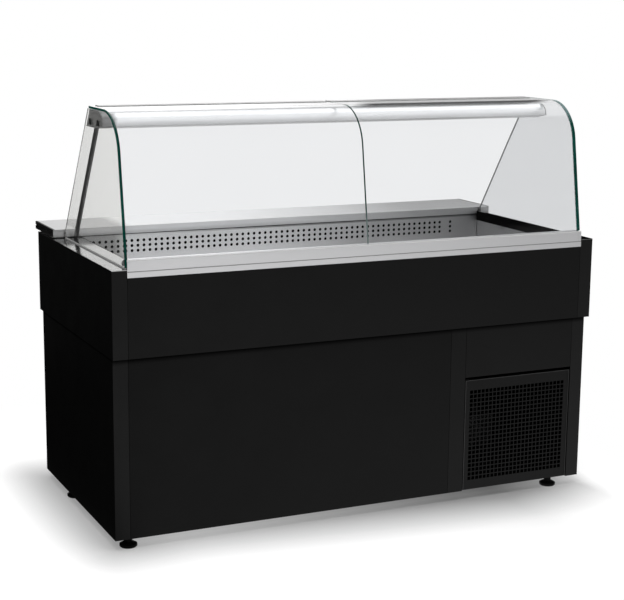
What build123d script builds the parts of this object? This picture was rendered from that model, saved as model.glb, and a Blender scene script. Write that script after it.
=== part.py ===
from build123d import *
import os
from math import cos, radians, sin, tan

# Hot food table: a heated well behind curved front panes, with a worktop and doors on the operator's side.
# Millimetres. The front faces -Y, the length runs along X, Z is up and the floor is Z = 0.

# Case
half_length = 800.0
case_front = -418.0
case_back = 366.0
step_height = 568.0
case_top = 823.0
foot_height = 30.0
end_board = 45.0
board = 18.0
sheet = 1.5
seam = 1.0
end_inset = 5.0
front_inset = 20.0
back_inset = 16.0
lower_half = half_length - end_inset
lower_front = case_front + front_inset
lower_back = case_back - back_inset
upper_inner = half_length - end_board
lower_inner = lower_half - end_board
lower_rebate = lower_inner + 20.0
base_top = foot_height + board

# Machine bay at the right of the lower case
stile_left = 302.0
stile_right = 355.0
partition_left = 318.0
bay_left = stile_right + seam
bay_split = 399.0
bay_gap = 3.0
grille_top_gap = 6.5
grille_side_gap = 3.0
mesh_pitch = 14.2
mesh_hole = 11.0
mesh_columns = 25
mesh_rows = 21
mesh_centre_x = 551.5
mesh_centre_z = 210.5

# Heated well
well_left = -700.0
well_right = 745.0
well_front = -368.0
well_back = 262.0
tray_top = step_height + sheet
floor_top = 605.5
rim_top = case_top
rim_bottom = rim_top - sheet
edge_strip = 3.0
edge_strip_bottom = 803.0
air_panel_front = 208.0
air_hole = 10.0
air_pitch = 20.2
air_row_pitch = 16.5
air_first_x = -678.0
air_columns = 64
air_lone_x = 637.0
air_middle_z = 785.0
deck_top = 700.0
deck_front = -340.0
deck_back = 202.0
deck_gap = 3.0
deck_sheet = 2.0
deck_edges = (-694.0, -218.0, 263.0, 739.0)
support_y = -332.0
fan_plate_y = 186.0
fan_z = 652.0
fan_centres = (-230.0, 275.0)
fan_ring = 41.0

# Front rail
rail_bottom = 800.0
rail_lip_top = 815.5
rail_top = 850.0
rail_radius = 3.0
rail_crest = -390.0
rail_drop = 12.0
rail_leg = 11.0
rail_lip_front = -420.0
rail_face = -418.5
rail_back = -366.0

# Worktop
worktop_front = 206.0
worktop_back = 420.0
worktop_bottom = 825.5
worktop_top = 850.0
worktop_end = 794.0
cap_width = 6.0
worktop_half = worktop_end - cap_width

# Panes
pane = 6.0
side_pane = 8.0
side_inner = 749.0
side_outer = side_inner + side_pane
seal = 3.0
pane_gap = 1.0
glass_top = 1254.0
glass_radius = 134.0
glass_lean = radians(9.0)
glass_arc_y = -229.0
glass_arc_z = glass_top - glass_radius
glass_rear = -83.0
pane_foot = rail_top + 0.4
side_foot = rim_top + seal
side_rear_foot = 198.0
side_rear_knee = worktop_top
side_rear_top = -73.0

# Canopy, hinge and cable post
hood_sheet = 2.5
hood_bottom = 1193.0
hood_top = 1244.0
hood_half = 745.0
hood_end = 3.5
hood_rear_bottom = (-46.0, hood_bottom)
hood_rear_top = (-83.0, hood_top)
hood_front_top = (-160.0, hood_top)
hood_front_mid = (-188.5, 1231.5)
hood_lip = (-202.0, 1203.0)
hood_front_bottom = (-150.0, hood_bottom)
hood_front_flange = -136.0
hood_rear_flange = -60.0
cover_half = 694.0
lamp_y = -104.0
lamp_z = 1217.0
lamp_centres = (-450.0, 0.0, 450.0)
hinge_y = -75.5
hinge_z = 1247.0
hinge_rod_radius = 2.5
hinge_barrel = 4.5
hinge_block = 7.5
hinge_boss = 5.5
post_x = -721.5
post_radius = 7.0
post_wall = 1.5
post_foot_y = 188.0
post_slope = (side_rear_foot - side_rear_top) / (glass_top - pane - pane_gap - side_rear_knee)

# Operator's side
door_bottom = 51.0
door_top = 565.0
door_edge = 9.0
door_left_side = -745.0
door_right_side = 299.0
door_meeting = -223.0
pin_radius = 4.0
pin_bore = 4.08
pin_y = (lower_back + lower_back - board) / 2
panel_left = 420.0
panel_right = 700.0
panel_bottom = 640.0
panel_top = 740.0
panel_lap = 8.0
control_z = 690.0
knob_x = 480.0
knob_shaft = 3.0
switch_tilt = radians(7.0)
switch_y = 364.0
gland_x = 650.0
gland_z = 110.0

# Feet, each by its middle
foot_places = {
    "foot_front_left": (-748.0, -371.0),
    "foot_front_right": (697.0, -371.0),
    "foot_rear_left": (-763.0, 125.0),
    "foot_rear_right": (697.0, 125.0),
}
stud_radius = 5.0

os.makedirs("parts", exist_ok=True)


def save(piece, label):
    piece.part.label = label
    export_step(piece.part, f"parts/{label}.step")


def blocks(label, *boxes):
    """Boxes given by their limits along X, Y and Z. Those that touch become one solid."""
    with BuildPart() as piece:
        for (x0, x1), (y0, y1), (z0, z1) in boxes:
            with BuildSketch(Plane.XY.offset(z0)):
                with Locations(((x0 + x1) / 2, (y0 + y1) / 2)):
                    Rectangle(x1 - x0, y1 - y0)
            extrude(amount=z1 - z0)
    save(piece, label)


def glass_points(inset, foot):
    """Foot, two ends of the bend with its middle, at a distance inside the outer face of the panes."""
    radius = glass_radius - inset
    middle = radians(90.0) + (radians(90.0) - glass_lean) / 2
    bend = (glass_arc_y - radius * cos(glass_lean), glass_arc_z + radius * sin(glass_lean))
    turn = (glass_arc_y + radius * cos(middle), glass_arc_z + radius * sin(middle))
    crown = (glass_arc_y, glass_arc_z + radius)
    low = (bend[0] - (bend[1] - foot) * tan(glass_lean), foot)
    return low, bend, turn, crown


# Case boards
base_front = lower_front + board
for name, side in (("left", -1), ("right", 1)):
    outer = sorted((side * lower_rebate, side * lower_half))
    inner = sorted((side * lower_inner, side * lower_rebate))
    blocks(
        f"lower_end_{name}",
        (outer, (lower_front, lower_back), (foot_height, step_height)),
        (inner, (lower_front, lower_back), (base_top, step_height)),
        (inner, (lower_front, base_front), (foot_height, base_top)),
    )
blocks("upper_end_left", ((-half_length, -upper_inner), (case_front, case_back), (step_height, rim_bottom)))
blocks("upper_end_right", ((upper_inner, half_length), (case_front, case_back), (step_height, rim_bottom)))
blocks(
    "upper_front_panel",
    (
        (-upper_inner + seam, upper_inner - seam),
        (case_front, case_front + board),
        (step_height, rail_lip_top - 0.5),
    ),
)
blocks(
    "lower_front_panel",
    (
        (-lower_inner + seam, stile_left - seam),
        (lower_front, lower_front + board),
        (foot_height, step_height),
    ),
)
blocks(
    "bay_front_panel",
    (
        (bay_left, lower_inner - seam),
        (lower_front, lower_front + board),
        (bay_split + bay_gap, step_height),
    ),
)
blocks(
    "partition",
    ((stile_left, stile_right), (lower_front, lower_front + board), (foot_height, step_height)),
    (
        (partition_left, partition_left + board),
        (lower_front + board, lower_back - board),
        (base_top, step_height),
    ),
)

# Base board with the holes of the feet and of the lower door pins
with BuildPart() as base:
    base_middle = (base_front + lower_back) / 2
    with BuildSketch(Plane.XY.offset(foot_height)):
        with Locations((0, base_middle)):
            Rectangle(2 * lower_rebate, lower_back - base_front)
    extrude(amount=board)
    with BuildSketch(Plane.XY.offset(base_top)):
        with Locations((door_left_side + door_edge, pin_y), (door_right_side - door_edge, pin_y)):
            Circle(pin_bore)
    extrude(amount=-(board - 8.0), mode=Mode.SUBTRACT)
    with BuildSketch(Plane.XY.offset(base_top)):
        with Locations(*foot_places.values()):
            Circle(stud_radius + 0.1)
    extrude(amount=-board, mode=Mode.SUBTRACT)
save(base, "base_tray")

# Tray that carries the insulation, with the holes of the upper door pins
with BuildPart() as tray:
    tray_front = case_front + board
    tray_back = case_back - board
    with BuildSketch(Plane.XY.offset(step_height)):
        with Locations((0, (tray_front + tray_back) / 2)):
            Rectangle(2 * upper_inner, tray_back - tray_front)
        with Locations((door_left_side + door_edge, pin_y), (door_right_side - door_edge, pin_y)):
            Circle(pin_bore, mode=Mode.SUBTRACT)
    extrude(amount=sheet)
save(tray, "well_tray")

# Grille: a sheet with square holes and a folded edge all round
with BuildPart() as grille:
    grille_front = lower_front + 2.0
    grille_left = stile_right + grille_side_gap
    grille_right = lower_inner - grille_side_gap
    grille_top = bay_split - grille_top_gap
    grille_bottom = foot_height + 2.0
    grille_middle = ((grille_left + grille_right) / 2, (grille_bottom + grille_top) / 2)
    grille_wide = grille_right - grille_left
    grille_tall = grille_top - grille_bottom
    with BuildSketch(Plane.XZ.offset(-grille_front)):
        with Locations(grille_middle):
            Rectangle(grille_wide, grille_tall)
        with Locations((mesh_centre_x, mesh_centre_z)):
            with GridLocations(mesh_pitch, mesh_pitch, mesh_columns, mesh_rows):
                Rectangle(mesh_hole, mesh_hole, mode=Mode.SUBTRACT)
    extrude(amount=-sheet)
    with BuildSketch(Plane.XZ.offset(-grille_front)):
        with Locations(grille_middle):
            Rectangle(grille_wide, grille_tall)
            Rectangle(grille_wide - 2 * sheet, grille_tall - 2 * sheet, mode=Mode.SUBTRACT)
    extrude(amount=-(board - 2.0))
save(grille, "bay_grille")

# Rear panel of the upper case with the opening for the controls
with BuildPart() as rear:
    with BuildSketch(Plane.XZ.offset(-case_back)):
        with Locations((0, (step_height + rim_bottom) / 2)):
            Rectangle(2 * (upper_inner - seam), rim_bottom - step_height)
        with Locations(((panel_left + panel_right) / 2, (panel_bottom + panel_top) / 2)):
            cut_wide = panel_right - panel_left - 2 * panel_lap
            cut_tall = panel_top - panel_bottom - 2 * panel_lap
            Rectangle(cut_wide, cut_tall, mode=Mode.SUBTRACT)
    extrude(amount=board)
save(rear, "upper_rear_panel")

# Rear panel of the machine bay with louvre slots and the hole for the gland
with BuildPart() as bay_rear:
    bay_rear_left = door_right_side + 7.0
    bay_rear_right = lower_inner - seam
    bay_rear_x = (bay_rear_left + bay_rear_right) / 2
    with BuildSketch(Plane.XZ.offset(-lower_back)):
        with Locations((bay_rear_x, (base_top + step_height) / 2)):
            Rectangle(bay_rear_right - bay_rear_left, step_height - base_top)
        with Locations((bay_rear_x, 380.0)):
            with GridLocations(190.0, 24.0, 2, 10):
                SlotOverall(160.0, 8.0, mode=Mode.SUBTRACT)
        with Locations((gland_x, gland_z)):
            Circle(8.2, mode=Mode.SUBTRACT)
    extrude(amount=2.0)
save(bay_rear, "bay_rear_panel")


# Cupboard doors with their pivot pins
def door(label, left, right, pin_x):
    with BuildPart() as leaf:
        with BuildSketch(Plane.XY.offset(door_bottom)):
            with Locations(((left + right) / 2, pin_y)):
                Rectangle(right - left, board)
        extrude(amount=door_top - door_bottom)
        with BuildSketch(Plane.XY.offset(door_bottom)):
            with Locations((pin_x, pin_y)):
                Circle(pin_radius)
        extrude(amount=-(door_bottom - base_top + 9.0))
        with BuildSketch(Plane.XY.offset(door_top)):
            with Locations((pin_x, pin_y)):
                Circle(pin_radius)
        extrude(amount=tray_top - 0.1 - door_top)
    save(leaf, label)


door("door_left", door_left_side, door_meeting - 1.5, door_left_side + door_edge)
door("door_right", door_meeting + 1.5, door_right_side, door_right_side - door_edge)


def door_knob(label, x):
    with BuildPart() as knob:
        with BuildSketch(Plane.XY.offset(500.0)):
            with BuildLine():
                outline = ((0, 0), (9, 0), (7, 4), (7, 9), (15, 13), (16, 16), (14, 21), (0, 22), (0, 0))
                Polyline(*[(x + out, lower_back + along) for out, along in outline])
            make_face()
        revolve(axis=Axis((x, 0, 500.0), (0, 1, 0)))
    save(knob, label)


door_knob("door_knob_left", door_meeting - 34.0)
door_knob("door_knob_right", door_meeting + 34.0)

# Well: floor, walls, end walls folded into the rims
well_span = (well_left - sheet, well_right + sheet)
blocks(
    "well_floor",
    (well_span, (well_front - sheet, well_back + sheet), (floor_top - sheet, floor_top)),
)
blocks(
    "well_front_wall",
    (well_span, (well_front - sheet, well_front), (floor_top, rail_top - rail_drop - 1.0)),
)
blocks(
    "well_rear_wall",
    (well_span, (well_back, well_back + sheet), (floor_top, rim_bottom)),
)
blocks(
    "well_left_end",
    ((well_left - sheet, well_left), (well_front, well_back), (floor_top, rim_top)),
    ((-upper_inner, well_left), (rail_back, well_back), (rim_bottom, rim_top)),
    ((-half_length, -upper_inner), (case_front, case_back), (rim_bottom, rim_top)),
)
blocks(
    "well_right_end",
    ((well_right, well_right + sheet), (well_front, well_back), (floor_top, rim_top)),
    ((well_right, upper_inner), (rail_back, well_back), (rim_bottom, rim_top)),
    ((upper_inner, half_length), (case_front, case_back), (rim_bottom, rim_top)),
)

# Black strips at the edges of the well and under the side panes
side_front_foot = glass_points(pane + pane_gap, side_foot)[0][0]
blocks(
    "edge_seals",
    ((well_left, well_left + edge_strip), (rail_back, worktop_front), (edge_strip_bottom, rim_top)),
    ((well_right - edge_strip, well_right), (rail_back, worktop_front), (edge_strip_bottom, rim_top)),
    ((-side_outer - 1, -side_inner + 1), (side_front_foot, side_rear_foot), (rim_top, side_foot)),
    ((side_inner - 1, side_outer + 1), (side_front_foot, side_rear_foot), (rim_top, side_foot)),
)

# Insulation round the well
slab_bottom = tray_top + 2.5
slab_top = floor_top - sheet
fill_front = case_front + board + 1
fill_half = upper_inner - 1
blocks(
    "insulation",
    ((-fill_half, fill_half), (fill_front, case_back - board - 2), (slab_bottom, slab_top)),
    ((well_left, well_right), (fill_front, well_front - sheet), (floor_top, rail_bottom)),
    ((-fill_half, well_left - sheet), (well_front, well_back), (floor_top, rim_bottom)),
    ((well_left, well_right), (well_back + sheet, well_back + 26), (floor_top, rim_bottom - 6)),
)

# Front rail, one folded sheet that falls away toward the well, notched at both ends for the side panes
with BuildPart() as rail:
    with BuildSketch(Plane.YZ.offset(-upper_inner)):
        with BuildLine():
            bend_y = rail_face + rail_radius
            bend_z = rail_top - rail_radius
            turn = rail_radius * cos(radians(45.0))
            Line((rail_lip_front, rail_bottom), (rail_lip_front, rail_lip_top))
            Line((rail_lip_front, rail_lip_top), (rail_face, rail_lip_top + sheet))
            Line((rail_face, rail_lip_top + sheet), (rail_face, bend_z))
            ThreePointArc((rail_face, bend_z), (bend_y - turn, bend_z + turn), (bend_y, rail_top))
            back_top = rail_top - rail_drop
            Polyline((bend_y, rail_top), (rail_crest, rail_top), (rail_back, back_top))
            Line((rail_back, back_top), (rail_back, back_top - rail_leg))
            offset(amount=sheet, side=Side.RIGHT)
        make_face()
    extrude(amount=2 * upper_inner)
    notch_wide = upper_inner - side_inner + 0.5
    with BuildSketch(Plane.XY.offset(rail_lip_top + 6.0)):
        for side in (-1, 1):
            with Locations((side * (upper_inner - notch_wide / 2), bend_y / 2 + rail_back / 2 + 1.0)):
                Rectangle(notch_wide, rail_back - bend_y)
    extrude(amount=40.0, mode=Mode.SUBTRACT)
save(rail, "front_rail")

# Perforated air panel with a raised strip at each end
with BuildPart() as air:
    air_left = well_left + 0.5
    air_right = well_right - 0.5
    with BuildSketch(Plane.XZ.offset(-air_panel_front)):
        with Locations(((air_left + air_right) / 2, (deck_top + rim_bottom) / 2)):
            Rectangle(air_right - air_left, rim_bottom - deck_top)
        for row in (-1, 0, 1):
            hole_z = air_middle_z + row * air_row_pitch
            with Locations(*[(air_first_x + n * air_pitch, hole_z) for n in range(air_columns)]):
                Circle(air_hole / 2, mode=Mode.SUBTRACT)
            with Locations((air_lone_x, hole_z)):
                Circle(air_hole / 2, mode=Mode.SUBTRACT)
    extrude(amount=-sheet)
    with BuildSketch(Plane.XZ.offset(-air_panel_front)):
        with Locations(
            (air_left + 5.0, (deck_top + edge_strip_bottom) / 2),
            (air_right - 6.5, (deck_top + edge_strip_bottom) / 2),
        ):
            Rectangle(10.0, edge_strip_bottom - 2.0 - deck_top)
    extrude(amount=sheet)
save(air, "air_panel")


# Deck plates with folded front and rear edges
def deck(label, left, right):
    blocks(
        label,
        ((left, right), (deck_front, deck_back), (deck_top - deck_sheet, deck_top)),
        ((left, right), (deck_front, deck_front + deck_sheet), (deck_top - 14.0, deck_top)),
        ((left, right), (deck_back - deck_sheet, deck_back), (deck_top - 5.0, deck_top)),
    )


for name, left, right in zip(("left", "middle", "right"), deck_edges, deck_edges[1:]):
    deck(f"deck_{name}", left + deck_gap / 2, right - deck_gap / 2)

# Slotted support under the front of the deck plates
with BuildPart() as support:
    support_top = deck_top - deck_sheet
    with BuildSketch(Plane.XZ.offset(-support_y)):
        with Locations(((well_left + well_right) / 2, (floor_top + support_top) / 2)):
            Rectangle(well_right - well_left - 1.0, support_top - floor_top)
            with GridLocations(100.0, 1.0, 14, 1):
                SlotOverall(76.0, 46.0, mode=Mode.SUBTRACT)
    extrude(amount=-2.0)
save(support, "deck_support")

# Tubular heaters on brackets that stand on the floor of the well
with BuildPart() as heaters:
    heater_z = 650.0
    for start in (-230.0, -40.0):
        with BuildLine() as hairpin:
            FilletPolyline(
                (-600.0, start, heater_z),
                (600.0, start, heater_z),
                (600.0, start + 90.0, heater_z),
                (-600.0, start + 90.0, heater_z),
                radius=40.0,
            )
        with BuildSketch(Plane(origin=(-600.0, start, heater_z), z_dir=(1, 0, 0))):
            Circle(4.5)
        sweep(path=hairpin.line)
    for x in (-520.0, 0.0, 520.0):
        with BuildSketch(Plane.XY.offset(floor_top)):
            with Locations((x, -90.0)):
                Rectangle(3.0, 320.0)
        extrude(amount=heater_z + 10.0 - floor_top)
save(heaters, "heaters")

# Fan plate with two shrouds, each with a motor on four arms
with BuildPart() as fans:
    with BuildSketch(Plane.XZ.offset(-fan_plate_y)):
        with Locations(((well_left + well_right) / 2, (floor_top + deck_top - deck_sheet) / 2)):
            Rectangle(well_right - well_left - 1.0, deck_top - deck_sheet - floor_top)
        with Locations(*[(x, fan_z) for x in fan_centres]):
            Circle(fan_ring, mode=Mode.SUBTRACT)
    extrude(amount=-2.0)
    with BuildSketch(Plane.XZ.offset(-fan_plate_y - 2.0)):
        with Locations(*[(x, fan_z) for x in fan_centres]):
            Circle(fan_ring + 2.0)
            Circle(fan_ring, mode=Mode.SUBTRACT)
    extrude(amount=-18.0)
    with BuildSketch(Plane.XZ.offset(-fan_plate_y - 16.0)):
        with Locations(*[(x, fan_z) for x in fan_centres]):
            Rectangle(4.0, 2 * fan_ring + 2.0)
            Rectangle(2 * fan_ring + 2.0, 4.0)
    extrude(amount=-4.0)
    with BuildSketch(Plane.XZ.offset(-fan_plate_y - 14.0)):
        with Locations(*[(x, fan_z) for x in fan_centres]):
            Circle(15.0)
    extrude(amount=-14.0)
    with BuildSketch(Plane.XZ.offset(-fan_plate_y - 14.0)):
        with Locations(*[(x, fan_z) for x in fan_centres]):
            Circle(2.0)
    extrude(amount=9.0)
save(fans, "fan_plate")


def impeller(label, x):
    hub_back = fan_plate_y + 13.0
    hub_front = fan_plate_y + 4.0
    with BuildPart() as wheel:
        with BuildSketch(Plane.XZ.offset(-hub_back)):
            with Locations((x, fan_z)):
                Circle(13.0)
        extrude(amount=hub_back - hub_front)
        for number in range(5):
            turn = radians(72.0 * number)
            outward = (cos(turn), 0, sin(turn))
            root = (x + 11.0 * cos(turn), (hub_back + hub_front) / 2, fan_z + 11.0 * sin(turn))
            with BuildSketch(Plane(origin=root, x_dir=(0, 1, 0), z_dir=outward)):
                Rectangle(1.6, 11.0, rotation=50.0)
            extrude(amount=28.0)
        with BuildSketch(Plane.XZ.offset(-hub_back)):
            with Locations((x, fan_z)):
                Circle(2.06)
        extrude(amount=8.0, mode=Mode.SUBTRACT)
    save(wheel, label)


impeller("impeller_left", fan_centres[0])
impeller("impeller_right", fan_centres[1])

# Power unit on the base board of the machine bay
with BuildPart() as power:
    with BuildSketch(Plane.XY.offset(base_top)):
        with Locations((550.0, 80.0)):
            Rectangle(260.0, 240.0)
    extrude(amount=110.0)
    with BuildSketch(Plane.XY.offset(base_top)):
        with Locations((550.0, 80.0)):
            Rectangle(256.0, 236.0)
    extrude(amount=108.0, mode=Mode.SUBTRACT)
    with BuildSketch(Plane.XY.offset(base_top + 110.0)):
        with Locations((550.0, 80.0)):
            with GridLocations(20.0, 1.0, 9, 1):
                Rectangle(3.0, 180.0)
    extrude(amount=34.0)
save(power, "power_unit")

# Worktop: a folded sheet with two ribs that stand on the case
with BuildPart() as worktop:
    with BuildSketch(Plane.YZ.offset(-worktop_half)):
        with BuildLine():
            Polyline((worktop_front, worktop_bottom), (worktop_front, worktop_top - 2.0))
            ThreePointArc(
                (worktop_front, worktop_top - 2.0),
                (worktop_front + 0.586, worktop_top - 0.586),
                (worktop_front + 2.0, worktop_top),
            )
            Line((worktop_front + 2.0, worktop_top), (worktop_back - 2.0, worktop_top))
            ThreePointArc(
                (worktop_back - 2.0, worktop_top),
                (worktop_back - 0.586, worktop_top - 0.586),
                (worktop_back, worktop_top - 2.0),
            )
            Line((worktop_back, worktop_top - 2.0), (worktop_back, worktop_bottom))
            offset(amount=sheet, side=Side.RIGHT)
        make_face()
    extrude(amount=2 * worktop_half)
    rib_top = worktop_top - sheet
    with BuildSketch(Plane.YZ.offset(-upper_inner + 2.0)):
        for rib_y in (well_back + sheet / 2, case_back - board / 2):
            with Locations((rib_y, (rim_bottom + rib_top) / 2)):
                Rectangle(sheet, rib_top - rim_bottom)
    extrude(amount=2 * upper_inner - 4.0)
save(worktop, "worktop")

# End caps of the worktop, with a groove along the outer face
with BuildPart() as caps:
    for side in (-1, 1):
        with BuildSketch(Plane.YZ.offset(side * worktop_half)):
            with Locations(((worktop_front + worktop_back) / 2, (worktop_bottom + worktop_top) / 2)):
                RectangleRounded(worktop_back - worktop_front, worktop_top - worktop_bottom, 2.0)
        extrude(amount=side * cap_width)
        with BuildSketch(Plane.YZ.offset(side * worktop_end)):
            with Locations(((worktop_front + worktop_back) / 2, (worktop_bottom + worktop_top) / 2)):
                Rectangle(worktop_back - worktop_front, 4.0)
        extrude(amount=-side * 2.0, mode=Mode.SUBTRACT)
save(caps, "worktop_caps")

# Side panes, each with two holes for the clamps
clamp_places = ((-88.0, 1211.0), (-165.0, 1211.0))


def side_glass(label, side):
    low, bend, turn, crown = glass_points(pane + pane_gap, side_foot)
    rear_low = (side_rear_foot, side_foot)
    rear_knee = (side_rear_foot, side_rear_knee)
    rear_high = (side_rear_top, crown[1])
    with BuildPart() as glass:
        with BuildSketch(Plane.YZ.offset(side * side_inner)):
            with BuildLine():
                Line(low, bend)
                ThreePointArc(bend, turn, crown)
                Polyline(crown, rear_high, rear_knee, rear_low, low)
            make_face()
            with Locations(*clamp_places):
                Circle(4.3, mode=Mode.SUBTRACT)
        extrude(amount=side * side_pane)
    save(glass, label)


side_glass("side_glass_left", -1)
side_glass("side_glass_right", 1)

# Clamps that hold the canopy to the side panes
with BuildPart() as clamps:
    for side in (-1, 1):
        with BuildSketch(Plane.YZ.offset(side * side_outer)):
            with Locations(*clamp_places):
                Trapezoid(30.0, 18.0, 58.6)
        extrude(amount=side * 3.0)
        with BuildSketch(Plane.YZ.offset(side * side_outer)):
            with Locations(*clamp_places):
                Circle(4.0)
        extrude(amount=-side * (side_outer - hood_half - hood_end))
save(clamps, "glass_clamps")


# Curved front panes
def front_glass(label, left, right):
    low, bend, turn, crown = glass_points(0.0, pane_foot)
    low_inner, bend_inner, turn_inner, crown_inner = glass_points(pane, pane_foot)
    with BuildPart() as glass:
        with BuildSketch(Plane.YZ.offset(left)):
            with BuildLine():
                Line(low, bend)
                ThreePointArc(bend, turn, crown)
                Polyline(crown, (glass_rear, glass_top), (glass_rear, glass_top - pane), crown_inner)
                ThreePointArc(crown_inner, turn_inner, bend_inner)
                Polyline(bend_inner, low_inner, low)
            make_face()
        extrude(amount=right - left)
    save(glass, label)


front_glass("front_glass_left", -side_outer, -pane_gap)
front_glass("front_glass_right", pane_gap, side_outer)


# Hinge leaves: a channel on the rear edge of the pane and a barrel round the rod
def hinge_leaf(label, left, right):
    jaw = 2.0
    with BuildPart() as leaf:
        with BuildSketch(Plane.YZ.offset(left)):
            for jaw_z in (glass_top + jaw / 2, glass_top - pane - jaw / 2):
                with Locations((glass_rear - 8.0, jaw_z)):
                    Rectangle(20.0, jaw)
            with Locations((glass_rear + jaw / 2, glass_top - pane / 2)):
                Rectangle(jaw, pane + 2 * jaw)
            with Locations((glass_rear + 4.0, hinge_z)):
                Rectangle(6.0, 2.0)
            with Locations((hinge_y, hinge_z)):
                Circle(hinge_barrel)
                Circle(hinge_rod_radius + 0.05, mode=Mode.SUBTRACT)
        extrude(amount=right - left)
    save(leaf, label)


leaf_outer = hood_half - hinge_block - 1.5
hinge_leaf("hinge_leaf_left", -leaf_outer, -hinge_block)
hinge_leaf("hinge_leaf_right", hinge_block, leaf_outer)

# Hinge rod with the three blocks that hold it to the canopy
rear_lean = (hood_rear_bottom[0] - hood_rear_top[0]) / (hood_top - hood_bottom)
block_low = 1212.0
block_low_y = hood_rear_bottom[0] - (block_low - hood_bottom) * rear_lean
with BuildPart() as rod:
    for left, right in (
        (-hood_half, -hood_half + hinge_block),
        (-hinge_block + 1.0, hinge_block - 1.0),
        (hood_half - hinge_block, hood_half),
    ):
        with BuildSketch(Plane.YZ.offset(left)):
            with BuildLine():
                Polyline(
                    (block_low_y, block_low),
                    hood_rear_top,
                    (hinge_y - hinge_boss, hinge_z),
                    (hinge_y + hinge_boss, hinge_z),
                    (block_low_y + 6.0, block_low),
                    (block_low_y, block_low),
                )
            make_face()
            with Locations((hinge_y, hinge_z)):
                Circle(hinge_boss)
        extrude(amount=right - left)
    with BuildSketch(Plane.YZ.offset(-hood_half)):
        with Locations((hinge_y, hinge_z)):
            Circle(hinge_rod_radius)
    extrude(amount=2 * hood_half)
save(rod, "hinge_rod")

# Canopy: one profile, open below between two flanges
with BuildPart() as canopy:
    with BuildSketch(Plane.YZ.offset(-hood_half)):
        with BuildLine():
            Polyline((hood_rear_flange, hood_bottom), hood_rear_bottom, hood_rear_top, hood_front_top)
            ThreePointArc(hood_front_top, hood_front_mid, hood_lip)
            Polyline(hood_lip, hood_front_bottom, (hood_front_flange, hood_bottom))
            offset(amount=hood_sheet, side=Side.LEFT)
        make_face()
    extrude(amount=2 * hood_half)
save(canopy, "canopy")

# End plates of the canopy, each with a plate that closes the last of its underside
with BuildPart() as ends:
    for side in (-1, 1):
        with BuildSketch(Plane.YZ.offset(side * hood_half)):
            with BuildLine():
                Polyline(hood_rear_bottom, hood_rear_top, hood_front_top)
                ThreePointArc(hood_front_top, hood_front_mid, hood_lip)
                Polyline(hood_lip, hood_front_bottom, hood_rear_bottom)
            make_face()
        extrude(amount=side * hood_end)
        closed_from = cover_half + 1.0
        with BuildSketch(Plane.XY.offset(hood_bottom)):
            with Locations((side * (closed_from + hood_half) / 2, (hood_front_flange + hood_rear_flange) / 2)):
                Rectangle(hood_half - closed_from, hood_rear_flange - hood_front_flange)
        extrude(amount=hood_sheet)
save(ends, "canopy_ends")

cover_bottom = hood_bottom + hood_sheet
blocks(
    "lamp_cover",
    (
        (-cover_half, cover_half),
        (hood_front_flange - 12.0, hood_rear_flange + 3.0),
        (cover_bottom, cover_bottom + 3.0),
    ),
)

# Heat lamps: a tube between two holders under the top of the canopy
with BuildPart() as lamps:
    holder_top = hood_top - hood_sheet
    for x in lamp_centres:
        with BuildSketch(Plane.YZ.offset(x - 190.0)):
            with Locations((lamp_y, lamp_z)):
                Circle(6.0)
        extrude(amount=380.0)
        with BuildSketch(Plane.XY.offset(lamp_z - 9.0)):
            with Locations((x - 185.0, lamp_y), (x + 185.0, lamp_y)):
                Rectangle(14.0, 18.0)
        extrude(amount=holder_top - lamp_z + 9.0)
save(lamps, "heat_lamps")

# Cable post: a tube that leans with the rear edge of the side pane, cut level at both ends
with BuildPart() as post:
    post_foot = (post_x, post_foot_y, rim_top)
    with BuildSketch(Plane(origin=post_foot, x_dir=(1, 0, 0), z_dir=(0, -post_slope, 1))):
        Circle(post_radius)
        Circle(post_radius - post_wall, mode=Mode.SUBTRACT)
    extrude(amount=500.0)
    extrude(post.faces().sort_by(Axis.Z)[0], amount=30.0)
    with BuildSketch(Plane.XY.offset(rim_top)):
        with Locations((post_x, post_foot_y - 120.0)):
            Rectangle(60.0, 500.0)
    extrude(amount=hood_bottom - rim_top, mode=Mode.INTERSECT)
save(post, "cable_post")

# Control panel with holes for the knob and the rocker switches
switch_x = (580.0, 640.0)
with BuildPart() as controls:
    with BuildSketch(Plane.XZ.offset(-case_back)):
        with Locations(((panel_left + panel_right) / 2, control_z)):
            RectangleRounded(panel_right - panel_left, panel_top - panel_bottom, 4.0)
        with Locations((knob_x, control_z)):
            Circle(knob_shaft + 1.0, mode=Mode.SUBTRACT)
        with Locations(*[(x, control_z) for x in switch_x]):
            Rectangle(19.4, 29.0, mode=Mode.SUBTRACT)
    extrude(amount=-2.0)
save(controls, "control_panel")

# Control box behind it, with a bearing for the knob and two ears for each rocker
with BuildPart() as box:
    box_face = case_back - board - 2.0
    with BuildSketch(Plane.XZ.offset(-box_face)):
        with Locations(((panel_left + panel_right) / 2, control_z)):
            Rectangle(256.0, 80.0)
    extrude(amount=52.0)
    with BuildSketch(Plane.XZ.offset(-box_face)):
        with Locations((knob_x, control_z)):
            Circle(knob_shaft + 0.06)
    extrude(amount=12.0, mode=Mode.SUBTRACT)
    with BuildSketch(Plane.XZ.offset(-box_face)):
        for x in switch_x:
            with Locations((x - 11.5, control_z), (x + 11.5, control_z)):
                Rectangle(3.0, 12.0)
    extrude(amount=-(case_back - 0.5 - box_face))
    with BuildSketch(Plane.YZ.offset(switch_x[0] - 20.0)):
        with Locations((switch_y - 2.0, control_z)):
            Circle(1.55)
    extrude(amount=100.0, mode=Mode.SUBTRACT)
save(box, "control_box")

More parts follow.
